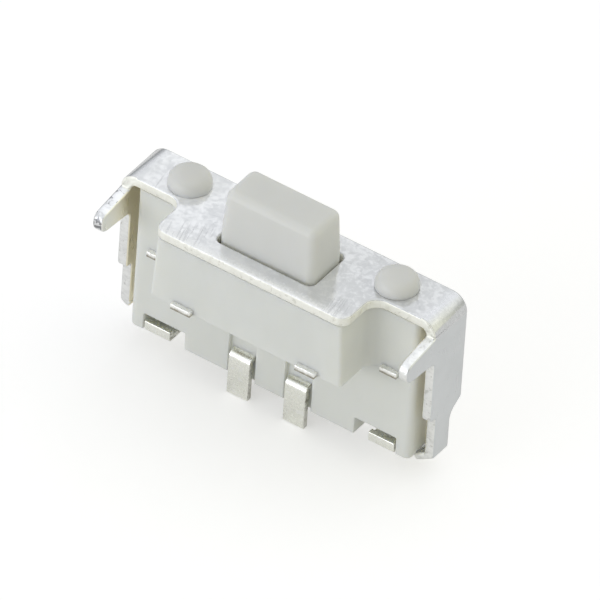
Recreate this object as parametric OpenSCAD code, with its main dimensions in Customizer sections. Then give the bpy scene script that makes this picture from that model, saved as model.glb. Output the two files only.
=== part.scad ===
// Side-push tactile switch with a folded sheet-metal cover.
// Millimetres. X runs along the switch, -Y faces the circuit board, +Z is
// the side that the button comes out of. The origin is on the housing's
// seating face, at the middle of its bottom edge.

/* [Housing] */
// Length of the moulded housing between its ends
housing_l = 6.24; // [5.8:0.02:6.8]
// Depth of the housing behind the seating face
housing_d = 1.0; // [0.9:0.02:1.2]
// Height of the housing, up to the underside of the cover
housing_h = 3.23; // [3:0.01:3.8]
// Radius of the housing's upright outer corners
housing_corner_r = 0.14; // [0.02:0.01:0.2]
// Radius of the two bottom corners at the housing's ends
housing_foot_r = 0.05; // [0.02:0.01:0.2]
// Width of the centre block at its bottom
block_w = 4.24; // [3.9:0.02:4.4]
// How far the centre block stands out in front of the seating face
block_out = 0.93; // [0.8:0.01:1.1]
// Height of the underside of the centre block
block_z = 1.84; // [1.6:0.01:1.9]
// Draft angle of the block's sides, leaning in towards the top
block_draft = 3.3; // [1:0.1:5]
// Radius of the block's upright front corners
block_corner_r = 0.07; // [0.02:0.01:0.12]
// Radius of the fillet where the block's sides meet the seating face
block_root_r = 0.25; // [0.04:0.01:0.28]

/* [Cavity] */
// Wall in front of and behind the cavity
cavity_wall = 0.2; // [0.15:0.01:0.25]
// Wall between the cavity and each side of the block, at the block's top
cavity_side_wall = 0.38; // [0.3:0.01:0.45]
// Radius of the cavity's upright corners
cavity_corner_r = 0.12; // [0.05:0.01:0.2]

/* [Cover] */
// Thickness of the cover's sheet
cover_t = 0.22; // [0.15:0.01:0.25]
// Outer radius of the two folds
fold_r = 0.35; // [0.3:0.01:0.4]
// Gap between each end of the housing and its end plate
end_gap = 0.16; // [0.1:0.01:0.25]
// How far the cover reaches past the back of the housing
cover_back_over = 0.045; // [0.02:0.005:0.1]
// Radius of the front lobe's outer corners
lobe_r = 0.22; // [0.1:0.01:0.3]
// Radius of the relief where the lobe meets the recessed ends
lobe_root_r = 0.3; // [0.05:0.01:0.35]
// Radius of the corners of the hole for the button
hole_corner_r = 0.14; // [0.05:0.01:0.2]

/* [End plates] */
// How far the end plates' front edges stand back from the seating face
plate_setback = 0.055; // [0.03:0.005:0.1]
// How much further back the foot's front edge stands
foot_step = 0.18; // [0.1:0.01:0.22]
// Width of the foot at the bottom of each end plate
foot_w = 0.48; // [0.4:0.01:0.52]
// Height of the foot's front shoulder
foot_front_z = 1.06; // [0.9:0.01:1.2]
// Height of the corner where the plate's back edge turns in to the foot
foot_back_z = 1.08; // [0.9:0.01:1.3]
// Drop of the sloping back shoulder
foot_back_drop = 0.2; // [0.1:0.01:0.4]
// Radius of the foot's front shoulder
foot_r = 0.07; // [0.03:0.01:0.15]
// Radius where the back shoulder runs into the foot
foot_back_r = 0.3; // [0.1:0.01:0.4]
// How much higher the left foot and its shoulders sit than the right ones
left_foot_rise = 0.12; // [0:0.01:0.2]

/* [Clinches] */
// Angle by which the end of each foot is bent in towards the housing
clinch_turn = 60; // [45:1:70]
// Height of the right clinch's outer corner
clinch_z = 0.08; // [0.06:0.01:0.15]
// Thickness that the clinches are pressed down to
clinch_t = 0.15; // [0.12:0.01:0.18]
// Inner radius of the clinches' bends
clinch_r = 0.03; // [0.01:0.01:0.04]
// Outer radius of the clinches' bends
clinch_outer_r = 0.1; // [0.05:0.01:0.14]
// Length of the right clinch's inner side, which reaches under the housing
clinch_right_l = 0.28; // [0.2:0.01:0.32]
// Length of the left clinch's inner side, which ends beside the housing
clinch_left_l = 0.04; // [0.03:0.01:0.06]
// Gap between the right clinch and its seat in the housing
clinch_gap = 0.02; // [0.01:0.01:0.05]

/* [Hooks] */
// How far the board hooks reach in front of the seating face
hook_out = 0.86; // [0.7:0.01:1]
// Height of the hook's root, measured down from the fold
hook_root_h = 0.6; // [0.55:0.01:0.8]
// Height of the hook near its tip
hook_tip_h = 0.4; // [0.3:0.01:0.45]
// Drop of the hook's upper edge from its root to its tip
hook_fall = 0.12; // [0.05:0.01:0.2]
// Radius in the corner under the hook
hook_root_r = 0.12; // [0.05:0.01:0.2]

/* [Stakes] */
// Distance of each staked post from the middle of the switch
stake_x = 2.3; // [2.25:0.01:2.4]
// Distance of the staked posts behind the seating face
stake_y = 0.475; // [0.46:0.005:0.52]
// Radius of the posts through the cover
post_r = 0.28; // [0.2:0.01:0.3]
// Clearance round each post in the cover
post_gap = 0.03; // [0.01:0.01:0.05]
// Radius of the staked heads
stake_head_r = 0.42; // [0.4:0.01:0.45]
// Height of the staked heads above the cover
stake_head_h = 0.3; // [0.22:0.01:0.35]
// Radius of the staked heads' rims
stake_rim_r = 0.17; // [0.05:0.01:0.2]

/* [Button] */
// Length of the button's face at the cover
button_l = 2.08; // [1.7:0.02:2.3]
// How far the button and its hole sit to the right of the middle
button_x = 0.02; // [0:0.005:0.03]
// Depth of the button's face at the cover
button_d = 1; // [0.8:0.02:1.06]
// Height of the button above the cover
button_proud = 1.13; // [0.8:0.01:1.4]
// How much each side of the button leans in between the cover and its top
button_lean = 0.035; // [0.01:0.005:0.08]
// Radius of the button's upright corners
button_corner_r = 0.16; // [0.06:0.01:0.2]
// Radius of the button's top edges
button_edge_r = 0.17; // [0.08:0.01:0.2]
// Gap between the button and each end of its hole
button_end_gap = 0.035; // [0.03:0.005:0.12]
// Gap between the button and the front and back of its hole
button_side_gap = 0.06; // [0.04:0.01:0.08]
// Thickness of the flange that keeps the button in
flange_t = 0.36; // [0.25:0.01:0.45]
// Gap between the flange and the cavity's walls
flange_gap = 0.07; // [0.04:0.01:0.1]
// Gap between the flange and the underside of the cover
flange_top_gap = 0.02; // [0.01:0.01:0.04]
// Radius of the pusher under the flange
pusher_r = 0.36; // [0.2:0.01:0.45]
// Gap between the pusher and the contact dome at rest
pusher_gap = 0.015; // [0.01:0.005:0.03]

/* [Contact dome] */
// Thickness of the contact dome's spring sheet
dome_t = 0.05; // [0.04:0.01:0.08]
// Height of the dome's underside above the contacts, at its middle
dome_rise = 0.23; // [0.22:0.01:0.3]
// Depth of the dome, from front to back
dome_d = 1.3; // [0.9:0.02:1.36]
// Gap between the ends of the dome and the cavity's walls
dome_end_gap = 0.1; // [0.05:0.01:0.2]

/* [Lead frame] */
// Thickness of the lead-frame sheet
lead_t = 0.12; // [0.08:0.01:0.14]
// Distance between the middles of the two terminals
terminal_pitch = 1.25; // [1.1:0.01:1.5]
// Width of each terminal
terminal_w = 0.47; // [0.35:0.01:0.5]
// How far the terminals' soldered faces lie in front of the seating face
terminal_proud = 0.083; // [0.05:0.001:0.1]
// How far the terminals reach below the housing
terminal_drop = 0.4; // [0.3:0.01:0.8]
// Height of the top of the terminals' outer bend
terminal_z = 0.59; // [0.45:0.01:0.65]
// Gap on each side of a terminal in its pocket
pocket_gap = 0.065; // [0.03:0.005:0.1]
// Height of the pockets behind the terminals
pocket_h = 1; // [0.8:0.01:1.2]
// Depth of the pockets behind the terminals
pocket_depth = 0.09; // [0.08:0.005:0.12]
// Inner radius of the lead frame's bends
lead_bend_r = 0.04; // [0.02:0.01:0.06]
// How far the cut tie bars stand out of the plastic
tie_out = 0.1; // [0.02:0.01:0.15]
// Distance from the middle to the middle of each tie bar in front of the block
tie_x = 1.38; // [1.3:0.01:1.45]
// Width of the two tie bars in front of the block
tie_w = 0.44; // [0.38:0.01:0.6]
// Depth of the left terminal's riser behind the seating face
riser_left_y = 0.36; // [0.3:0.01:0.38]
// Gap between the two terminals' risers
riser_gap = 0.12; // [0.1:0.01:0.13]
// Half the width of the middle contact pad
centre_pad = 0.3; // [0.2:0.01:0.4]
// Width of the bar that joins the two rim pads
rim_bar_w = 0.16; // [0.12:0.01:0.17]

/* [Anchor tabs] */
// Width of each anchor tab
anchor_w = 0.57; // [0.45:0.01:0.65]
// Distance from the end of the housing to the notch
notch_inset = 0.31; // [0.25:0.01:0.4]
// Gap between the tab and the outer side of its notch
anchor_outer_gap = 0.03; // [0.02:0.01:0.06]
// Gap between the tab and the inner side of its notch
anchor_inner_gap = 0.32; // [0.2:0.01:0.4]
// Height of the tab's front lip
anchor_lip_h = 0.22; // [0.15:0.01:0.3]
// Outer radius of the bend below the lip
anchor_bend_r = 0.05; // [0.02:0.01:0.08]
// Height of the notches
notch_h = 0.38; // [0.33:0.01:0.45]
// Depth of the notches behind the seating face
notch_d = 0.58; // [0.4:0.01:0.6]
// Thickness of plastic between the notch and the anchor's riser
anchor_cover_d = 0.08; // [0.05:0.01:0.1]
// Width of the anchors' tie bars
anchor_tie_w = 0.38; // [0.2:0.01:0.44]

/* [Hidden] */

// Steps in each rounded corner of an outline
ARC_STEPS = 6;
// Facets of round posts, holes and heads
ROUND_FACETS = 64;
// Facets of the balls that round the button's top, in line with its outline
BALL_FACETS = 4 * ARC_STEPS;
// Facets of the large spheres that the dome is cut from
DOME_FACETS = 240;
// How far a cut runs past the surface that it opens
CUT = 0.1;

plastic = "gainsboro";
plated_sheet = "silver";
plated_lead = "lightgray";
spring_sheet = "darkgray";

switch_h = housing_h + cover_t;
cover_l = housing_l + 2 * (end_gap + cover_t);
cover_flat_x = cover_l / 2 - fold_r;
cover_back_y = housing_d + cover_back_over;
fold_z = switch_h - fold_r;

block_h = housing_h - block_z;
block_top_w = block_w - 2 * block_h * tan(block_draft);

// The lead frame's sheet lies flush in the underside of the block, and its
// upper side is the cavity's floor.
cavity_floor_z = block_z + lead_t;

// The button, its hole, the cavity and the dome have their middles at one
// depth behind the seating face.
button_y = (housing_d - block_out) / 2;
cavity_l = block_top_w - 2 * cavity_side_wall;
cavity_d = housing_d + block_out - 2 * cavity_wall;
flange_l = cavity_l - 2 * flange_gap;
flange_d = cavity_d - 2 * flange_gap;
flange_top_z = housing_h - flange_top_gap;
dome_l = cavity_l - 2 * dome_end_gap;
dome_inner_r = (dome_l * dome_l / 4 + dome_rise * dome_rise) / (2 * dome_rise);
dome_top_z = cavity_floor_z + dome_rise + dome_t;

plate_inner_x = cover_l / 2 - cover_t;
foot_front_y = plate_setback + foot_step;
foot_back_y = foot_front_y + foot_w;

clinch_inner_z = clinch_z + (clinch_t - cover_t * cos(clinch_turn)) / sin(clinch_turn);
clinch_top_z = max(clinch_z, clinch_inner_z) + clinch_outer_r;

terminal_x = terminal_pitch / 2;
pocket_w = terminal_w + 2 * pocket_gap;
riser_right_y = riser_left_y + lead_t + riser_gap;
anchor_riser_y = notch_d + anchor_cover_d;
anchor_out_x = housing_l / 2 - notch_inset - anchor_outer_gap;
notch_w = anchor_w + anchor_outer_gap + anchor_inner_gap;

function unit(v) = v / norm(v);

// An angle brought to between minus and plus half a turn
function half_turn(angle) = angle - 360 * round(angle / 360);

// The points of a fillet of radius r at corner b, between corners a and c
function fillet(a, b, c, r) =
    r <= 0 ? [b] :
    let (
        u = unit(a - b),
        v = unit(c - b),
        half = acos(u * v) / 2,
        centre = b + unit(u + v) * r / sin(half),
        start = b + u * r / tan(half) - centre,
        finish = b + v * r / tan(half) - centre,
        from = atan2(start.y, start.x),
        turn = half_turn(atan2(finish.y, finish.x) - from)
    )
    [for (i = [0 : ARC_STEPS])
        centre + r * [cos(from + turn * i / ARC_STEPS), sin(from + turn * i / ARC_STEPS)]];

// An outline from corners [x, y, radius]
function rounded(corners) =
    let (n = len(corners))
    [for (i = [0 : n - 1])
        let (
            a = corners[(i + n - 1) % n],
            b = corners[i],
            c = corners[(i + 1) % n]
        )
        each fillet([a.x, a.y], [b.x, b.y], [c.x, c.y], b.z)];

// A rectangle about the origin with all four corners rounded
function rounded_box(w, d, r) =
    rounded([[-w / 2, -d / 2, r], [w / 2, -d / 2, r], [w / 2, d / 2, r], [-w / 2, d / 2, r]]);

// A box from its lowest to its highest corner
module span(low, high) {
    translate(low)
        cube(high - low);
}

// Extrudes an outline drawn in Y and Z from x0 to x1
module along_x(x0, x1) {
    translate([x0, 0, 0])
        rotate([90, 0, 90])
            linear_extrude(x1 - x0)
                children();
}

// Extrudes an outline drawn in X and Z from y0 back to y1
module along_y(y0, y1) {
    translate([0, y1, 0])
        rotate([90, 0, 0])
            linear_extrude(y1 - y0)
                children();
}

module mirrored_x() {
    children();
    mirror([1, 0, 0])
        children();
}

// ---- Housing ----

module housing_body() {
    hr = housing_corner_r;
    fr = housing_foot_r;
    intersection() {
        translate([0, housing_d / 2, 0])
            linear_extrude(housing_h)
                polygon(rounded_box(housing_l, housing_d, hr));
        along_y(0, housing_d)
            polygon(rounded([[-housing_l / 2, 0, fr], [housing_l / 2, 0, fr],
                             [housing_l / 2, housing_h, 0], [-housing_l / 2, housing_h, 0]]));
    }
}

// The right half of the centre block, leaning in towards its top, with its
// rounded front corner and the fillet at its root
module block_half() {
    root = block_root_r;
    side = block_w / 2;
    spare = side * tan(block_draft) + CUT;
    translate([side, 0, block_z])
        rotate([0, -block_draft, 0])
            translate([-side, 0, -spare])
                linear_extrude(block_h + 2 * spare)
                    polygon(rounded([[-CUT, -block_out, 0],
                                     [side, -block_out, block_corner_r],
                                     [side, 0, root],
                                     [side + 2 * root, 0, 0],
                                     [side + 2 * root, root, 0],
                                     [-CUT, root, 0]]));
}

module centre_block() {
    intersection() {
        mirrored_x()
            block_half();
        span([-block_w, -block_out, block_z], [block_w, block_root_r, housing_h]);
    }
}

module cavity() {
    translate([0, button_y, cavity_floor_z])
        linear_extrude(housing_h - cavity_floor_z + CUT)
            polygon(rounded_box(cavity_l, cavity_d, cavity_corner_r));
}

module terminal_pocket() {
    span([terminal_x - pocket_w / 2, -CUT, -CUT],
         [terminal_x + pocket_w / 2, pocket_depth, pocket_h]);
}

module anchor_notch() {
    x1 = housing_l / 2 - notch_inset;
    span([x1 - notch_w, -CUT, -CUT], [x1, notch_d, notch_h]);
}

// A post through the cover, melted over into a head on top of it
module stake() {
    translate([stake_x, stake_y, housing_h]) {
        cylinder(h = cover_t, r = post_r, $fn = ROUND_FACETS);
        translate([0, 0, cover_t])
            rotate_extrude($fn = ROUND_FACETS)
                polygon(rounded([[0, 0, 0], [stake_head_r, 0, 0],
                                 [stake_head_r, stake_head_h, stake_rim_r], [0, stake_head_h, 0]]));
    }
}

// The sloping cut in the housing's bottom corner that clears the right clinch
module clinch_seat() {
    seat_z = clinch_inner_z + clinch_gap / sin(clinch_turn);
    along_y(foot_front_y - clinch_gap, foot_back_y + clinch_gap)
        polygon([[plate_inner_x, seat_z],
                 [plate_inner_x - (seat_z + CUT) * tan(clinch_turn), -CUT],
                 [plate_inner_x, -CUT]]);
}

module housing() {
    color(plastic) {
        difference() {
            union() {
                housing_body();
                centre_block();
            }
            cavity();
            clinch_seat();
            mirrored_x() {
                terminal_pocket();
                anchor_notch();
                anchor_lead();
            }
            left_lead();
            right_lead();
        }
        mirrored_x()
            stake();
    }
}

// ---- Cover ----

module cover_top() {
    lobe_x = block_w / 2;
    difference() {
        polygon(rounded([[-cover_flat_x, 0, 0], [-lobe_x, 0, lobe_root_r],
                         [-lobe_x, -block_out, lobe_r], [lobe_x, -block_out, lobe_r],
                         [lobe_x, 0, lobe_root_r], [cover_flat_x, 0, 0],
                         [cover_flat_x, cover_back_y, 0], [-cover_flat_x, cover_back_y, 0]]));
        translate([button_x, button_y])
            polygon(rounded_box(button_l + 2 * button_end_gap,
                                button_d + 2 * button_side_gap, hole_corner_r));
        mirrored_x()
            translate([stake_x, stake_y])
                circle(r = post_r + post_gap, $fn = ROUND_FACETS);
    }
}

module fold() {
    translate([cover_flat_x, 0, fold_z])
        along_y(0, cover_back_y)
            intersection() {
                difference() {
                    circle(r = fold_r, $fn = ROUND_FACETS);
                    circle(r = fold_r - cover_t, $fn = ROUND_FACETS);
                }
                square(fold_r);
            }
}

// The outline of an end plate, with its hook in front and its foot below, down
// to where the clinch starts. rise lifts the foot.
module end_plate_outline(rise) {
    hook_top_z = fold_z - hook_fall;
    hook_low_z = hook_top_z - hook_tip_h;
    tip_r = hook_tip_h / 2;
    polygon(rounded([
        [0, fold_z, 0],
        [-hook_out, hook_top_z, tip_r],
        [-hook_out, hook_low_z, tip_r],
        [plate_setback, fold_z - hook_root_h, hook_root_r],
        [plate_setback, foot_front_z + rise, foot_r],
        [foot_front_y, foot_front_z + rise, foot_r],
        [foot_front_y, clinch_top_z + rise, 0],
        [foot_back_y, clinch_top_z + rise, 0],
        [foot_back_y, foot_back_z - foot_back_drop + rise, foot_back_r],
        [cover_back_y, foot_back_z + rise, 0],
        [cover_back_y, fold_z, 0]
    ]));
}

// The end of a foot, bent in towards the housing and pressed thinner
module clinch(length) {
    along = [-sin(clinch_turn), -cos(clinch_turn)];
    across = [-cos(clinch_turn), sin(clinch_turn)];
    inner_tip = [plate_inner_x, clinch_inner_z] + along * length;
    outer_tip = inner_tip - across * clinch_t;
    along_y(foot_front_y, foot_back_y)
        polygon(rounded([[plate_inner_x, clinch_top_z, 0],
                         [plate_inner_x, clinch_inner_z, clinch_r],
                         [inner_tip.x, inner_tip.y, 0],
                         [outer_tip.x, outer_tip.y, 0],
                         [cover_l / 2, clinch_z, clinch_outer_r],
                         [cover_l / 2, clinch_top_z, 0]]));
}

// The right end of the cover: its fold, its end plate and the clinch
module cover_end(rise, clinch_l) {
    fold();
    along_x(plate_inner_x, cover_l / 2)
        end_plate_outline(rise);
    translate([0, 0, rise])
        clinch(clinch_l);
}

module cover() {
    color(plated_sheet) {
        translate([0, 0, housing_h])
            linear_extrude(cover_t)
                cover_top();
        cover_end(0, clinch_right_l);
        mirror([1, 0, 0])
            cover_end(left_foot_rise, clinch_left_l);
    }
}

// ---- Button ----

module button_cap() {
    corner_x = button_l / 2 - button_lean - button_edge_r;
    corner_y = button_d / 2 - button_lean - button_edge_r;
    hull() {
        linear_extrude(button_edge_r)
            polygon(rounded_box(button_l, button_d, button_corner_r));
        for (x = [-corner_x, corner_x], y = [-corner_y, corner_y])
            translate([x, y, button_proud - button_edge_r])
                sphere(r = button_edge_r, $fn = BALL_FACETS);
    }
}

module button() {
    pusher_z = dome_top_z + pusher_gap;
    flange_z = flange_top_z - flange_t;
    color(plastic)
        translate([button_x, button_y, 0]) {
            translate([0, 0, switch_h])
                button_cap();
            translate([0, 0, flange_top_z])
                linear_extrude(switch_h - flange_top_z)
                    polygon(rounded_box(button_l, button_d, button_corner_r));
            translate([0, 0, flange_z])
                linear_extrude(flange_t)
                    polygon(rounded_box(flange_l, flange_d, cavity_corner_r));
            translate([0, 0, pusher_z])
                cylinder(h = flange_z - pusher_z, r = pusher_r, $fn = ROUND_FACETS);
        }
}

// ---- Contact dome ----

// A shallow spherical spring, trimmed to a strip with round ends
module contact_dome() {
    color(spring_sheet)
        translate([0, button_y, cavity_floor_z])
            intersection() {
                linear_extrude(dome_rise + 2 * dome_t)
                    polygon(rounded_box(dome_l, dome_d, dome_d / 2 - dome_t));
                translate([0, 0, dome_rise - dome_inner_r])
                    difference() {
                        sphere(r = dome_inner_r + dome_t, $fn = DOME_FACETS);
                        sphere(r = dome_inner_r, $fn = DOME_FACETS);
                    }
            }
}

// ---- Lead frame ----

// The part of a terminal that leaves the housing: out of its pocket, round
// the bend and down past the housing's bottom edge
module terminal_leg(x, riser_y) {
    face_y = -terminal_proud;
    along_x(x - terminal_w / 2, x + terminal_w / 2)
        polygon(rounded([
            [face_y, -terminal_drop, 0],
            [face_y + lead_t, -terminal_drop, 0],
            [face_y + lead_t, terminal_z - lead_t, lead_bend_r],
            [riser_y, terminal_z - lead_t, 0],
            [riser_y, terminal_z, 0],
            [face_y, terminal_z, lead_bend_r + lead_t]
        ]));
}

// The upright part of a terminal inside the housing
module riser(x, riser_y) {
    span([x - terminal_w / 2, riser_y, terminal_z - lead_t],
         [x + terminal_w / 2, riser_y + lead_t, cavity_floor_z]);
}

// The left terminal ends in the contact under the middle of the dome
module left_lead() {
    x = -terminal_x;
    terminal_leg(x, riser_left_y);
    riser(x, riser_left_y);
    span([x - terminal_w / 2, button_y - centre_pad, block_z],
         [centre_pad, riser_left_y + lead_t, cavity_floor_z]);
}

// The right terminal ends in the contacts under the dome's ends, which run on
// into the cut tie bars in front of the block
module right_lead() {
    terminal_leg(terminal_x, riser_right_y);
    riser(terminal_x, riser_right_y);
    span([-tie_x, riser_right_y, block_z],
         [tie_x, riser_right_y + rim_bar_w, cavity_floor_z]);
    mirrored_x()
        span([tie_x - tie_w / 2, -block_out - tie_out, block_z],
             [tie_x + tie_w / 2, riser_right_y + rim_bar_w, cavity_floor_z]);
}

// The right anchor tab: its lip and floor lie in the notch, and its riser and
// tie bar in the plastic
module anchor_lead() {
    back_y = anchor_riser_y + lead_t;
    x0 = anchor_out_x - anchor_w;
    along_x(x0, anchor_out_x)
        polygon(rounded([
            [0, anchor_lip_h, 0],
            [0, 0, anchor_bend_r],
            [back_y, 0, 0],
            [back_y, lead_t, 0],
            [lead_t, lead_t, 0],
            [lead_t, anchor_lip_h, 0]
        ]));
    span([x0, anchor_riser_y, 0], [anchor_out_x, back_y, cavity_floor_z]);
    span([anchor_out_x - anchor_tie_w, -tie_out, block_z],
         [anchor_out_x, back_y, cavity_floor_z]);
}

module terminal_left() {
    color(plated_lead)
        left_lead();
}

module terminal_right() {
    color(plated_lead)
        right_lead();
}

module anchor_left() {
    color(plated_lead)
        mirror([1, 0, 0])
            anchor_lead();
}

module anchor_right() {
    color(plated_lead)
        anchor_lead();
}

housing();
cover();
button();
contact_dome();
terminal_left();
terminal_right();
anchor_left();
anchor_right();
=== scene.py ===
import functools
import math

import bmesh
import bpy
from mathutils import Matrix, Vector
from mathutils.bvhtree import BVHTree


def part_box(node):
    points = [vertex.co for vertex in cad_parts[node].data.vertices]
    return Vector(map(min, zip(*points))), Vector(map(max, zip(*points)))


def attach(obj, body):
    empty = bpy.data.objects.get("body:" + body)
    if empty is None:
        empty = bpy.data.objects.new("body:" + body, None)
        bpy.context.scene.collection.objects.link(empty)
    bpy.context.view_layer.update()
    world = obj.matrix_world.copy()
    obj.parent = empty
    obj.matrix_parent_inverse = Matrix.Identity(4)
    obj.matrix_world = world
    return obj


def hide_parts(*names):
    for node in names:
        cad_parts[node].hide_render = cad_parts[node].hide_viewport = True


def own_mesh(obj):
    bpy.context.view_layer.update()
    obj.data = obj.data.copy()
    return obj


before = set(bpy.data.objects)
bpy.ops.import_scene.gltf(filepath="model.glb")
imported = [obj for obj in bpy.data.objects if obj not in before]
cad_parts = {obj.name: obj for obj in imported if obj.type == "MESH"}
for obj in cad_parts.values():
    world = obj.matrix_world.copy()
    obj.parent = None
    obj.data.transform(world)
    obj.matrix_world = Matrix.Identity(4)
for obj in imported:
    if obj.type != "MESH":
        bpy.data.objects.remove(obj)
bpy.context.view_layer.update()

# A side-push tactile switch on a pale floor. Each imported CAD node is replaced
# by a copy of its own mesh that has rounded edges and node materials.

MM = 0.001
WHITE = (1.0, 1.0, 1.0)

# The camera: its direction and distance from the switch, its roll and its scale
PICTURE = 600                       # the picture's width and height, in pixels
SENSOR = 36.0                       # Blender's default sensor width, in mm
VIEW_YAW = math.radians(32.161)
VIEW_PITCH = math.radians(40.546)
VIEW_ROLL = math.radians(4.046)
VIEW_CENTRE = Vector((0.0, 0.3, 1.8)) * MM      # the lamps face it too
VIEW_DISTANCE = 0.5
PIXELS_PER_M = 54833.1
ORIGIN_PIXEL = (268.317, 391.686)   # where the frame's origin falls
CLIP_FACTOR = 10.0                  # it sees from a tenth to ten times its distance

# The floor, just under the terminals' ends
FLOOR_Z = -0.42 * MM
FLOOR_SIZE = 0.5
FLOOR_COLOUR = (0.81, 0.80, 0.79)
FLOOR_GLOW = 0.39                   # added for the camera's rays
GLOSSY_GLOW = 0.4                   # the share of the glow that metal shows

# The sky: its levels and colours. It changes as a ray's share along some
# direction goes over a zone.
SKY_DIFFUSE = 0.76
SKY_GLOSSY = 0.96
SKY_DARK = (0.36, 0.37, 0.38)
SKY_LIGHT = (0.965, 0.985, 1.02)
SKY_WARM = (0.94, 0.95, 0.80)
WARM_ZONE = (0.1, 0.75)             # to the right, from light to warm
HIGH_ZONE = (0.05, 0.6)             # upwards, from dark to light
DARK_TOWARDS = (-0.55, 0.83, 0.0)   # behind on the left
DARK_ZONE = (-0.1, 0.7)
DIM_TOWARDS = (0.51, -0.81, 0.29)   # where the photographer stands
DIM_ZONE = (0.7, 0.95)
DIM_LEVEL = 0.2

# The lamps, with lengths in mm and power in watts
SOFTBOXES = [
    dict(name="front softbox", place=(-45, -98, 22), width=110, height=38,
         power=0.0345, tint=(0.96, 0.985, 1.03)),
    dict(name="side softbox", place=(100, 30, 48), width=80, height=80,
         power=0.0035, tint=(1.0, 0.97, 0.78)),
    dict(name="back softbox", place=(20, 70, 90), width=160, height=160,
         power=0.0175, tint=WHITE),
]

# Landmarks of the switch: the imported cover's box, and lengths that follow the
# shapes of part.scad
COVER_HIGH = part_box("cover")[1]
COVER_TOP = COVER_HIGH.z
SHEET = 0.22 * MM
PLATE_INNER = COVER_HIGH.x - SHEET
FOLD_RADIUS = 0.35 * MM
CLINCH_TOP = 0.35 * MM
TIE_LOW = 1.5 * MM                  # a lead's tie bar is above this
NEAR = 0.01 * MM
LEADS = ("terminal_left", "anchor_left", "terminal_right", "anchor_right")

# How the pieces' edges are rounded
MERGE_DISTANCE = 1e-4               # in mm
FLAT_ANGLE = math.radians(0.4)      # faces that meet at less become one face
SHARP_ANGLE = math.radians(28.0)    # edges that turn by more are rounded
CREASE_ANGLE = math.radians(35.0)   # edges that turn by more aren't smoothed
SEAT_TOUCH = 0.004                  # an edge this near a lead lies on it, in mm
BEVEL_SEGMENTS = 3

# The staked heads and the domes made of them. Heights are above the cover, and
# all lengths are in mm.
LEVEL = 0.999                       # the upward share of a level face's normal
HEAD_TOP = 0.1                      # a head's flat top is higher than this
HEAD_FOOT = 0.01                    # its points are higher than this
HEAD_REACH = 1.0                    # and closer than this to its middle
HEAD_RINGS = 4                      # rings of points added inside its top
RING_WIDTH = 0.05
STAKE_HEIGHT = 0.31
STAKE_POWER = 3.0                   # how full a dome is, where 2 is a ball
STAKE_RIM = 0.997                   # the share of its radius inside its upright rim


# ---- Geometry ----

def surface_tree(node_names):
    """A search tree over the surfaces of CAD nodes, in mm."""
    work = bmesh.new()
    for node_name in node_names:
        work.from_mesh(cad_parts[node_name].data)
    bmesh.ops.scale(work, vec=(1 / MM,) * 3, verts=work.verts)
    tree = BVHTree.FromBMesh(work)
    work.free()
    return tree


def dome_stakes(work):
    """Turns the two staked heads into low domes. work is a mesh in mm."""
    base = COVER_TOP / MM
    tops = [face for face in work.faces if face.normal.z > LEVEL
            and face.calc_center_median().z > base + HEAD_TOP]
    for top in tops:
        middle = top.calc_center_median()
        for _ in range(HEAD_RINGS):
            bmesh.ops.inset_individual(work, faces=[top], thickness=RING_WIDTH)
        head = [vert for vert in work.verts if vert.co.z > base + HEAD_FOOT
                and abs(vert.co.x - middle.x) < HEAD_REACH]
        far = {vert: (vert.co.xy - middle.xy).length for vert in head}
        radius = max(far.values())
        for vert in head:
            share = min(far[vert] / radius, STAKE_RIM)
            rise = (1.0 - share ** STAKE_POWER) ** (1.0 / STAKE_POWER)
            vert.co.z = base + STAKE_HEIGHT * rise
    work.normal_update()


def apply_modifiers(piece):
    """Makes the result of the modifiers the piece's own mesh."""
    graph = bpy.context.evaluated_depsgraph_get()
    mesh = bpy.data.meshes.new_from_object(piece.evaluated_get(graph))
    piece.modifiers.clear()
    old = piece.data
    piece.data = mesh
    bpy.data.meshes.remove(old)


def smooth(piece):
    """Shades a piece smoothly between its creases.

    Large faces keep their own normal, so that flat sides look flat.
    """
    piece.data.polygons.foreach_set("use_smooth", [True] * len(piece.data.polygons))
    piece.data.set_sharp_from_angle(angle=CREASE_ANGLE)
    flat = piece.modifiers.new("Flat sides", "WEIGHTED_NORMAL")
    flat.keep_sharp = True
    apply_modifiers(piece)


def mark_sharp_edges(work, keep_sharp):
    """Gives a bevel weight to the edges to round. work is a mesh in mm."""
    weights = work.edges.layers.float.new("bevel_weight_edge")
    seats = surface_tree(keep_sharp) if keep_sharp else None
    for edge in work.edges:
        if len(edge.link_faces) != 2 or edge.calc_face_angle() < SHARP_ANGLE:
            continue
        middle = (edge.verts[0].co + edge.verts[1].co) / 2
        if seats and seats.find_nearest(middle, SEAT_TOUCH)[0] is not None:
            continue
        edge[weights] = 1.0


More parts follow.
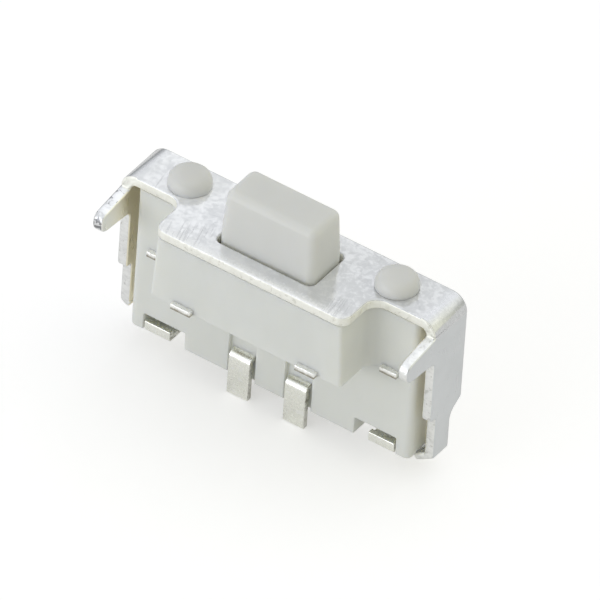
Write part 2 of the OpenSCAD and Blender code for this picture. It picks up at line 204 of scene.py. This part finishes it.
def soft_edges(node_name, name, width, keep_sharp, reshape):
    """A copy of a CAD node's mesh with its sharp edges rounded, width in mm.

    Edges that lie on the nodes in keep_sharp, such as a slot round a lead,
    stay sharp. reshape changes the mesh first.
    """
    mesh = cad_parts[node_name].data.copy()
    mesh.name = name
    mesh.transform(Matrix.Scale(1 / MM, 4))
    work = bmesh.new()
    work.from_mesh(mesh)
    bmesh.ops.remove_doubles(work, verts=work.verts, dist=MERGE_DISTANCE)
    bmesh.ops.dissolve_limit(work, angle_limit=FLAT_ANGLE, verts=work.verts,
                             edges=work.edges)
    if reshape:
        reshape(work)
    mark_sharp_edges(work, keep_sharp)
    work.to_mesh(mesh)
    work.free()
    piece = bpy.data.objects.new(name, mesh)
    bpy.context.scene.collection.objects.link(piece)

    bevel = piece.modifiers.new("Rounded edges", "BEVEL")
    bevel.width = width
    bevel.segments = BEVEL_SEGMENTS
    bevel.limit_method = "WEIGHT"
    bevel.use_clamp_overlap = False
    bevel.miter_outer = "MITER_ARC"
    apply_modifiers(piece)
    piece.data.transform(Matrix.Scale(MM, 4))
    smooth(piece)
    return piece


def dress(node_name, name, materials, width, body="base", pick=None,
          keep_sharp=(), reshape=None):
    """Replaces a CAD node by its soft-edged copy. width is in mm.

    pick says which of the materials a face takes, by its centre and normal.
    """
    piece = soft_edges(node_name, name, width, keep_sharp, reshape)
    piece.data.materials.clear()
    for material in materials:
        piece.data.materials.append(material)
    for face in piece.data.polygons:
        face.material_index = pick(face.center, face.normal) if pick else 0
    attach(piece, body)
    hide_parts(node_name)
    return piece


# ---- Node trees ----

# The places of the colour sockets of a Mix node
MIX_FIRST, MIX_SECOND, MIX_RESULT = 6, 7, 2


class Nodes:
    """A node tree, built by short calls. A value is a number, tuple or socket."""

    def __init__(self, tree):
        self.tree = tree

    def new(self, kind, **settings):
        node = self.tree.nodes.new(kind)
        for key, value in settings.items():
            setattr(node, key, value)
        return node

    def link(self, source, target):
        self.tree.links.new(source, target)

    def give(self, value, socket):
        """Gives a socket a number, a colour, a vector or another socket."""
        if isinstance(value, (int, float)):
            socket.default_value = value
        elif isinstance(value, tuple):
            with_alpha = len(socket.default_value) > len(value)
            socket.default_value = (*value, 1.0) if with_alpha else value
        else:
            self.link(value, socket)

    def ramp(self, value, low, high, over=(0.3, 0.7), kind="LINEAR"):
        """A number that goes from low to high as value goes over a range."""
        node = self.new("ShaderNodeMapRange", interpolation_type=kind)
        self.link(value, node.inputs["Value"])
        node.inputs["From Min"].default_value = over[0]
        node.inputs["From Max"].default_value = over[1]
        node.inputs["To Min"].default_value = low
        node.inputs["To Max"].default_value = high
        return node.outputs["Result"]

    def mix(self, amount, first, second):
        """Mixes two colours: the first at amount 0, the second at 1."""
        node = self.new("ShaderNodeMix", data_type="RGBA")
        self.link(amount, node.inputs["Factor"])
        self.give(first, node.inputs[MIX_FIRST])
        self.give(second, node.inputs[MIX_SECOND])
        return node.outputs[MIX_RESULT]

    def maths(self, operation, *values):
        node = self.new("ShaderNodeMath", operation=operation)
        for value, socket in zip(values, node.inputs):
            self.give(value, socket)
        return node.outputs[0]

    def vector(self, operation, *values):
        node = self.new("ShaderNodeVectorMath", operation=operation)
        for value, socket in zip(values, node.inputs):
            self.give(value, socket)
        return next(output for output in node.outputs if output.enabled)

    def total(self, *parts):
        """The sum of sockets, each with its weight."""
        terms = [self.maths("MULTIPLY", socket, weight) for socket, weight in parts]
        return functools.reduce(functools.partial(self.maths, "ADD"), terms)

    def highest(self, *sockets):
        return functools.reduce(functools.partial(self.maths, "MAXIMUM"), sockets)


class Finish(Nodes):
    """A material on the object, in object coordinates and mm."""

    def __init__(self, name):
        self.material = bpy.data.materials.new(name)
        self.material.use_nodes = True
        super().__init__(self.material.node_tree)
        self.shader = self.tree.nodes["Principled BSDF"]
        metres = self.new("ShaderNodeTexCoord").outputs["Object"]
        self.place = self.vector("SCALE", metres)
        self.place.node.inputs["Scale"].default_value = 1 / MM

    def along(self, axis):
        """The distance along an axis, X, Y or Z."""
        split = self.new("ShaderNodeSeparateXYZ")
        self.link(self.place, split.inputs[0])
        return split.outputs[axis]

    def noise(self, per_mm, detail=3.0, rough=0.55, distort=0.0, turn=0.0):
        """Noise with per_mm waves to the millimetre, a number or three.

        turn is in degrees about Z.
        """
        if not isinstance(per_mm, tuple):
            per_mm = (per_mm,) * 3
        place = self.place
        if turn:
            rotate = self.new("ShaderNodeVectorRotate", rotation_type="EULER_XYZ")
            rotate.inputs["Rotation"].default_value = (0.0, 0.0, math.radians(turn))
            self.link(place, rotate.inputs["Vector"])
            place = rotate.outputs["Vector"]
        node = self.new("ShaderNodeTexNoise")
        self.link(self.vector("MULTIPLY", place, per_mm), node.inputs["Vector"])
        node.inputs["Scale"].default_value = 1.0
        node.inputs["Detail"].default_value = detail
        node.inputs["Roughness"].default_value = rough
        node.inputs["Distortion"].default_value = distort
        return node.outputs["Fac"]

    def bump(self, *parts):
        """Bumps from sockets, each with its height in mm."""
        node = self.new("ShaderNodeBump")
        node.inputs["Distance"].default_value = MM
        self.link(self.total(*parts), node.inputs["Height"])
        self.link(node.outputs["Normal"], self.shader.inputs["Normal"])

    def shade(self, **values):
        """Gives the shader's sockets, named with _ for a space."""
        for key, value in values.items():
            self.give(value, self.shader.inputs[key.replace("_", " ")])


# ---- Materials ----

# Zones of the cover's top face, in mm along an axis
FOLD_ZONE = (3.05, 3.25)            # X, both ways, where it bends down, with painted shade
DARKER_RIGHT_ZONE = (-2.0, 1.8)             # X, from bright to darker
RIM_ZONE = (-0.78, -0.62)           # Y, from the front edge's painted highlight to the bare face

# Scratches on that face: turned by some degrees, round spots, to a radius in mm
RUBS = [
    dict(turn=-16.0, spots=[(-1.35, -0.6, 3.45), (-1.7, -0.75, 3.45)], radius=0.42),
    dict(turn=-10.0, spots=[(1.75, -0.7, 3.45), (-2.6, 0.2, 3.45)], radius=0.4),
]

CREAM_ZONE = (-0.75, 0.1)           # Y, from a hook's tip to the painted cream reflection behind it
TORN_AND_SHADED_ZONE = (1.905, 1.955)          # Z, from a bar's torn, painted-shade half to its bright one


def moulded_plastic(name, light, dark, rough):
    """White moulding: faint flow marks, fine grain and a satin skin."""
    n = Finish(name)
    flow = n.noise((1.1, 1.1, 0.7), detail=2.0, distort=0.6)
    grain = n.noise(38.0, detail=2.0)
    blotch = n.noise(4.5)
    tone = n.mix(n.ramp(flow, 0.0, 1.0, (0.35, 0.65)), dark, light)
    n.shade(
        Base_Color=n.mix(n.ramp(blotch, 0.0, 0.35, (0.62, 0.8)), tone, dark),
        Roughness=n.ramp(grain, *rough),
        Subsurface_Weight=0.6,
        Subsurface_Radius=(1.0, 0.95, 0.80),
        Subsurface_Scale=0.30 * MM,
    )
    n.bump((grain, 0.0016), (blotch, 0.0032))
    return n.material


def rubbed(n, turn, spots, radius):
    """Thin straight scratches round some spots on a sheet's face."""
    lines = n.noise((24.0, 1.0, 24.0), detail=1.0, turn=turn)
    near = n.highest(*(
        n.ramp(n.vector("DISTANCE", n.place, spot), 1.0, 0.0, (0.4 * radius, radius))
        for spot in spots
    ))
    return n.maths("MULTIPLY", n.ramp(lines, 0.0, 1.0, (0.53, 0.58)), near)


def plated_top(name, light, dark, darker_tone):
    """Bright plated sheet: hazy, with soft patches, fine mottle and scratches.

    It is darker to the right, with painted shade at the folds
    and a painted white highlight along the front edge.
    """
    n = Finish(name)
    patches = n.noise(1.9, detail=2.0, distort=0.5)
    mottle = n.noise(10.0, detail=3.0, rough=0.6, distort=0.7)
    pits = n.noise(24.0, detail=1.0)
    marks = n.highest(*(rubbed(n, **rub) for rub in RUBS))
    darker_right = n.ramp(n.along("X"), 0.0, 1.0, DARKER_RIGHT_ZONE)
    fold = n.ramp(n.maths("ABSOLUTE", n.along("X")), 0.0, 1.0, FOLD_ZONE)
    ragged_y = n.total((n.along("Y"), 1.0), (mottle, 0.25))
    rim = n.ramp(ragged_y, 1.0, 0.0, RIM_ZONE)

    cloud = n.total((patches, 0.3), (mottle, 0.7))
    tone = n.mix(n.ramp(cloud, 0.0, 1.0, (0.42, 0.57)), dark, light)
    spotted = n.maths("MULTIPLY", darker_right, n.ramp(mottle, 1.0, 0.5, (0.45, 0.6)))
    tone = n.mix(spotted, tone, darker_tone)
    # painted shade on the folds, where the sheet turns away from the light
    tone = n.mix(n.maths("MULTIPLY", fold, 0.8), tone, darker_tone)
    # a painted highlight: white along the front edge, where its rounding catches light
    tone = n.mix(rim, tone, WHITE)
    hazy = n.ramp(mottle, 0.06, 0.16, (0.35, 0.65))
    metal = n.ramp(cloud, 0.30, 0.42, (0.40, 0.60))
    n.shade(
        Base_Color=n.mix(n.maths("MULTIPLY", marks, 0.7), tone, darker_tone),
        Roughness=n.total((hazy, 1.0), (marks, 0.15), (fold, 0.05)),
        Metallic=n.total((metal, 1.0), (fold, 0.5), (rim, -0.25)),
    )
    n.bump((patches, 0.006), (mottle, 0.0024), (pits, 0.0003), (marks, -0.002))
    return n.material


def satin_sheet(name, light, dark, rough):
    """Plated sheet with a satin face, faintly brushed and lightly marked."""
    n = Finish(name)
    cloud = n.noise(1.4, detail=3.0, distort=0.4)
    brush = n.noise((16.0, 16.0, 1.6), detail=2.0)
    dents = n.noise(5.0, detail=3.0)
    streaks = n.total((cloud, 0.7), (brush, 0.3))
    tone = n.mix(n.ramp(streaks, 0.0, 1.0, (0.36, 0.64)), dark, light)
    n.shade(
        Base_Color=n.mix(n.ramp(dents, 0.0, 0.5, (0.66, 0.78)), tone, dark),
        Roughness=n.ramp(brush, *rough),
        Metallic=1.0,
    )
    n.bump((cloud, 0.012), (dents, 0.003), (brush, 0.0008))
    return n.material


def inner_sheet(name, tip, shaded):
    """The sheet's inner face: painted cream, as a reflection of the moulding close by.
    """
    n = Finish(name)
    cloud = n.noise(2.2, detail=2.0, distort=0.5)
    fine = n.noise((14.0, 14.0, 3.0), detail=1.0)
    uneven_y = n.total((n.along("Y"), 1.0), (cloud, 0.3))
    n.shade(
        Base_Color=n.mix(n.ramp(uneven_y, 0.0, 1.0, CREAM_ZONE), tip, shaded),
        Roughness=n.ramp(fine, 0.26, 0.40),
        Metallic=1.0,
    )
    n.bump((cloud, 0.006))
    return n.material


def snapped_end(name, bright, dark):
    """A tie bar's snapped end: bright on top; dark below, from the tear and painted
    shade.
    """
    n = Finish(name)
    tear = n.noise(9.0, detail=3.0, rough=0.7)
    ragged_z = n.total((n.along("Z"), 1.0), (tear, 0.09))
    n.shade(
        # the lower half is dark from the tear and from painted shade under the bar
        Base_Color=n.mix(n.ramp(ragged_z, 1.0, 0.0, TORN_AND_SHADED_ZONE), bright, dark),
        Roughness=n.ramp(tear, 0.22, 0.4),
        Metallic=1.0,
    )
    n.bump((tear, 0.03))
    return n.material


def sheared_edge(name, light, dark, across, speck, speckled=0.0, metallic=1.0):
    """The cut edge of a sheet: marks across it, bright burrs and dark specks.

    The number after the speck colour makes the specks larger, or smaller below 0.
    """
    n = Finish(name)
    marks = n.noise(across, detail=3.0, rough=0.7)
    burrs = n.noise(7.5, detail=2.0, rough=0.6, distort=0.8)
    specks = n.ramp(burrs, 0.85, 0.0, (0.36 + speckled, 0.41 + speckled))
    tone = n.mix(n.ramp(marks, 0.0, 1.0, (0.36, 0.6)), dark, light)
    tone = n.mix(n.ramp(burrs, 0.0, 0.8, (0.5, 0.62)), tone, light)
    n.shade(
        Base_Color=n.mix(specks, tone, speck),
        Roughness=n.ramp(marks, 0.46, 0.30),
        Metallic=metallic,
    )
    n.bump((marks, 0.002), (burrs, 0.020))
    return n.material


def lead_face(name, light, dark, chip_glint):
    """Silvered lead: satin, with small, smoother chips, painted brighter as glints."""
    n = Finish(name)
    cloud = n.noise(3.0, detail=1.5)
    fine = n.noise(22.0, detail=1.0)
    chips = n.noise((8.0, 7.0, 11.0), detail=1.5, rough=0.5, distort=0.8)
    tone = n.mix(n.ramp(cloud, 0.0, 1.0, (0.36, 0.64)), dark, light)
    chipped = n.ramp(chips, 0.0, 1.0, (0.56, 0.64))
    n.shade(
        # the chips are painted brighter as glints; their smoothness and bumps are real
        Base_Color=n.mix(n.maths("MULTIPLY", chipped, 0.75), tone, chip_glint),
        Roughness=n.total((n.ramp(fine, 0.22, 0.30), 1.0), (chipped, -0.08)),
        Metallic=1.0,
    )
    n.bump((cloud, 0.004), (chips, 0.003))
    return n.material


HOUSING_PLASTIC = moulded_plastic(
    "housing plastic",
    light=(0.785, 0.793, 0.748), dark=(0.765, 0.773, 0.724), rough=(0.42, 0.58))
BUTTON_PLASTIC = moulded_plastic(
    "button plastic",
    light=(0.738, 0.738, 0.708), dark=(0.722, 0.722, 0.690), rough=(0.36, 0.5))
STAKE_PLASTIC = moulded_plastic(
    "melted stake plastic",
    light=(0.720, 0.718, 0.690), dark=(0.700, 0.697, 0.664), rough=(0.34, 0.46))
TOP_FACE = plated_top(
    "plated cover top",
    light=(0.99, 0.995, 1.0), dark=(0.82, 0.828, 0.838), darker_tone=(0.68, 0.687, 0.695))
PLATE_FACE = satin_sheet(
    "plated end face",
    light=(0.71, 0.728, 0.738), dark=(0.665, 0.682, 0.69), rough=(0.26, 0.38))
INNER_FACE = inner_sheet(
    "inner face of the cover", tip=(0.96, 0.955, 0.92), shaded=(0.99, 0.93, 0.75))
COVER_EDGE = sheared_edge(
    "sheared cover edge",
    light=(0.99, 0.985, 0.91), dark=(0.92, 0.91, 0.83), speck=(0.78, 0.77, 0.69),
    across=(8.0, 8.0, 3.0), speckled=-0.02, metallic=0.3)
PLATE_EDGE = sheared_edge(
    "sheared plate edge",
    light=(0.93, 0.935, 0.92), dark=(0.80, 0.805, 0.79), speck=(0.66, 0.66, 0.63),
    across=(3.0, 9.0, 9.0), speckled=-0.02)
# The left hook's edge: its dark tone and big dark specks are painted reflections
HOOK_EDGE = sheared_edge(
    "worn hook edge",
    light=(0.96, 0.965, 0.97), dark=(0.62, 0.625, 0.63), speck=(0.20, 0.20, 0.21),
    across=(3.0, 7.0, 7.0), speckled=0.06)
LEAD_FACE = lead_face(
    "plated lead",
    light=(0.985, 0.985, 0.92), dark=(0.95, 0.955, 0.885), chip_glint=(0.995, 0.995, 0.97))
LEAD_EDGE = sheared_edge(
    "sheared lead edge",
    light=(0.86, 0.86, 0.80), dark=(0.58, 0.58, 0.52), speck=(0.40, 0.39, 0.33),
    across=(6.0, 14.0, 14.0))
TIE_END = snapped_end(
    "snapped tie bar", bright=(0.97, 0.97, 0.94), dark=(0.34, 0.31, 0.24))
SPRING = satin_sheet(
    "spring sheet", light=(0.72, 0.72, 0.71), dark=(0.6, 0.6, 0.59), rough=(0.2, 0.32))


# ---- Pieces ----

# Each list of materials is followed by its items' places in it
HOUSING_MATERIALS = [HOUSING_PLASTIC, STAKE_PLASTIC]
MOULDING, STAKE = range(len(HOUSING_MATERIALS))
COVER_MATERIALS = [TOP_FACE, PLATE_FACE, INNER_FACE, COVER_EDGE, PLATE_EDGE, HOOK_EDGE]
TOP, OUTER, INNER, TOP_EDGE, END_EDGE, PAINTED_REFLECTION_EDGE = range(len(COVER_MATERIALS))
LEAD_MATERIALS = [LEAD_FACE, LEAD_EDGE, TIE_END]
FLAT_SIDE, CUT_SIDE, TIE_BAR = range(len(LEAD_MATERIALS))

# A face points along an axis where the axis's share of its normal is over
# FACING, and lies along the axis where the share is under SQUARE
FACING = 0.6
SQUARE = 0.1


def housing_material(centre, normal):
    """The stake heads, smoothed by heat, apart from the moulding under them."""
    return STAKE if centre.z > COVER_TOP else MOULDING


def cover_material(centre, normal):
    """Which of the cover's materials a face takes, by its place and direction."""
    outward = math.copysign(normal.x, normal.x * centre.x)
    on_plate = abs(centre.x) > PLATE_INNER - NEAR
    if on_plate and centre.z < COVER_TOP - FOLD_RADIUS:
        clinched = abs(normal.y) < SQUARE and centre.z < CLINCH_TOP
        if abs(normal.x) < FACING and not clinched:
            # the left hook's edge takes the painted dark reflections
            on_left_hook = centre.x < 0.0 and centre.y < -NEAR
            return PAINTED_REFLECTION_EDGE if on_left_hook else END_EDGE
        return OUTER if outward > 0.0 or normal.z < -FACING else INNER
    if abs(centre.x) > COVER_HIGH.x - FOLD_RADIUS:
        if abs(normal.y) > FACING:
            return TOP_EDGE
        return TOP if outward + normal.z > 0.0 else INNER
    if abs(normal.z) < FACING:
        return TOP_EDGE
    return TOP if normal.z > 0.0 else INNER


def lead_material(centre, normal):
    """Which of a lead's materials a face takes, by its place and direction."""
    if centre.z > TIE_LOW:
        return TIE_BAR
    return CUT_SIDE if abs(normal.x) > FACING else FLAT_SIDE


def make_pieces():
    dress("housing", "moulded_housing", HOUSING_MATERIALS,
          width=0.022, pick=housing_material, keep_sharp=LEADS, reshape=dome_stakes)
    dress("cover", "folded_cover", COVER_MATERIALS,
          width=0.045, pick=cover_material)
    dress("button", "push_button", [BUTTON_PLASTIC],
          width=0.02, body="plunger")
    for lead in LEADS:
        dress(lead, "formed_" + lead, LEAD_MATERIALS,
              width=0.014, pick=lead_material)
    dome = dress("contact_dome", "snap_dome", [SPRING], width=0.006)
    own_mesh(dome)


# ---- Stage ----

def make_floor():
    """A pale floor that keeps the object's shadow, brightened for the camera."""
    material = bpy.data.materials.new("floor")
    material.use_nodes = True
    n = Nodes(material.node_tree)
    n.tree.nodes.clear()
    diffuse = n.new("ShaderNodeBsdfDiffuse")
    n.give(FLOOR_COLOUR, diffuse.inputs["Color"])
    path = n.new("ShaderNodeLightPath")
    mirrored = n.maths("MULTIPLY", path.outputs["Is Glossy Ray"], GLOSSY_GLOW)
    seen = n.maths("ADD", path.outputs["Is Camera Ray"], mirrored)
    glow = n.new("ShaderNodeEmission")
    n.link(n.maths("MULTIPLY", seen, FLOOR_GLOW), glow.inputs["Strength"])
    both = n.new("ShaderNodeAddShader")
    n.link(diffuse.outputs[0], both.inputs[0])
    n.link(glow.outputs[0], both.inputs[1])
    n.link(both.outputs[0], n.new("ShaderNodeOutputMaterial").inputs["Surface"])

    half = FLOOR_SIZE / 2
    mesh = bpy.data.meshes.new("floor")
    corners = [(-half, -half, FLOOR_Z), (half, -half, FLOOR_Z),
               (half, half, FLOOR_Z), (-half, half, FLOOR_Z)]
    mesh.from_pydata(corners, [], [(0, 1, 2, 3)])
    mesh.materials.append(material)
    floor = bpy.data.objects.new("floor", mesh)
    bpy.context.scene.collection.objects.link(floor)


def make_world():
    """Soft daylight, dimmer behind on the left and where the photographer is.

    The camera sees plain white.
    """
    world = bpy.data.worlds.new("studio")
    bpy.context.scene.world = world
    world.use_nodes = True
    n = Nodes(world.node_tree)
    n.tree.nodes.clear()
    direction = n.new("ShaderNodeTexCoord").outputs["Generated"]
    split = n.new("ShaderNodeSeparateXYZ")
    n.link(direction, split.inputs[0])
    high = n.ramp(split.outputs["Z"], 0.0, 1.0, HIGH_ZONE, "SMOOTHSTEP")
    open_side = n.ramp(n.vector("DOT_PRODUCT", direction, DARK_TOWARDS),
                       1.0, 0.0, DARK_ZONE)
    dim = n.ramp(n.vector("DOT_PRODUCT", direction, DIM_TOWARDS),
                 1.0, DIM_LEVEL, DIM_ZONE)
    bright = n.maths("MULTIPLY", n.highest(high, open_side), dim)
    warm = n.ramp(split.outputs["X"], 0.0, 1.0, WARM_ZONE)
    tint = n.mix(bright, SKY_DARK, n.mix(warm, SKY_LIGHT, SKY_WARM))
    path = n.new("ShaderNodeLightPath")
    light = n.new("ShaderNodeBackground")
    n.link(tint, light.inputs["Color"])
    level = n.ramp(path.outputs["Is Glossy Ray"], SKY_DIFFUSE, SKY_GLOSSY, (0.0, 1.0))
    n.link(level, light.inputs["Strength"])
    white = n.new("ShaderNodeBackground")
    n.give(WHITE, white.inputs["Color"])
    mix = n.new("ShaderNodeMixShader")
    n.link(path.outputs["Is Camera Ray"], mix.inputs["Fac"])
    n.link(light.outputs[0], mix.inputs[1])
    n.link(white.outputs[0], mix.inputs[2])
    n.link(mix.outputs[0], n.new("ShaderNodeOutputWorld").inputs["Surface"])


def make_softbox(name, place, width, height, power, tint):
    """A lamp that faces the switch."""
    lamp = bpy.data.lights.new(name, "AREA")
    lamp.shape = "RECTANGLE"
    lamp.size = width * MM
    lamp.size_y = height * MM
    lamp.energy = power
    lamp.color = tint
    holder = bpy.data.objects.new(name, lamp)
    bpy.context.scene.collection.objects.link(holder)
    holder.location = Vector(place) * MM
    aim = VIEW_CENTRE - holder.location
    holder.rotation_mode = "QUATERNION"
    holder.rotation_quaternion = aim.to_track_quat("-Z", "Y")


def make_camera():
    """The camera, without shift: the origin falls on ORIGIN_PIXEL."""
    cos, sin = math.cos, math.sin
    towards = Vector((sin(VIEW_YAW) * cos(VIEW_PITCH),
                      -cos(VIEW_YAW) * cos(VIEW_PITCH), sin(VIEW_PITCH)))
    level = Vector((cos(VIEW_YAW), sin(VIEW_YAW), 0.0))
    upright = towards.cross(level)
    right = level * cos(VIEW_ROLL) + upright * sin(VIEW_ROLL)
    up = upright * cos(VIEW_ROLL) - level * sin(VIEW_ROLL)
    middle = PICTURE / 2
    across = (middle - ORIGIN_PIXEL[0]) / PIXELS_PER_M - VIEW_CENTRE.dot(right)
    above = (ORIGIN_PIXEL[1] - middle) / PIXELS_PER_M - VIEW_CENTRE.dot(up)
    place = VIEW_CENTRE + right * across + up * above + towards * VIEW_DISTANCE
    camera = bpy.data.cameras.new("camera")
    camera.lens = PIXELS_PER_M * VIEW_DISTANCE * SENSOR / PICTURE
    camera.clip_start = VIEW_DISTANCE / CLIP_FACTOR
    camera.clip_end = VIEW_DISTANCE * CLIP_FACTOR
    holder = bpy.data.objects.new("camera", camera)
    bpy.context.scene.collection.objects.link(holder)
    holder.matrix_world = Matrix((
        (right.x, up.x, towards.x, place.x),
        (right.y, up.y, towards.y, place.y),
        (right.z, up.z, towards.z, place.z),
        (0.0, 0.0, 0.0, 1.0),
    ))
    bpy.context.scene.camera = holder


make_camera()
make_world()
for softbox in SOFTBOXES:
    make_softbox(**softbox)
make_floor()
make_pieces()
bpy.context.scene.view_settings.view_transform = "Standard"
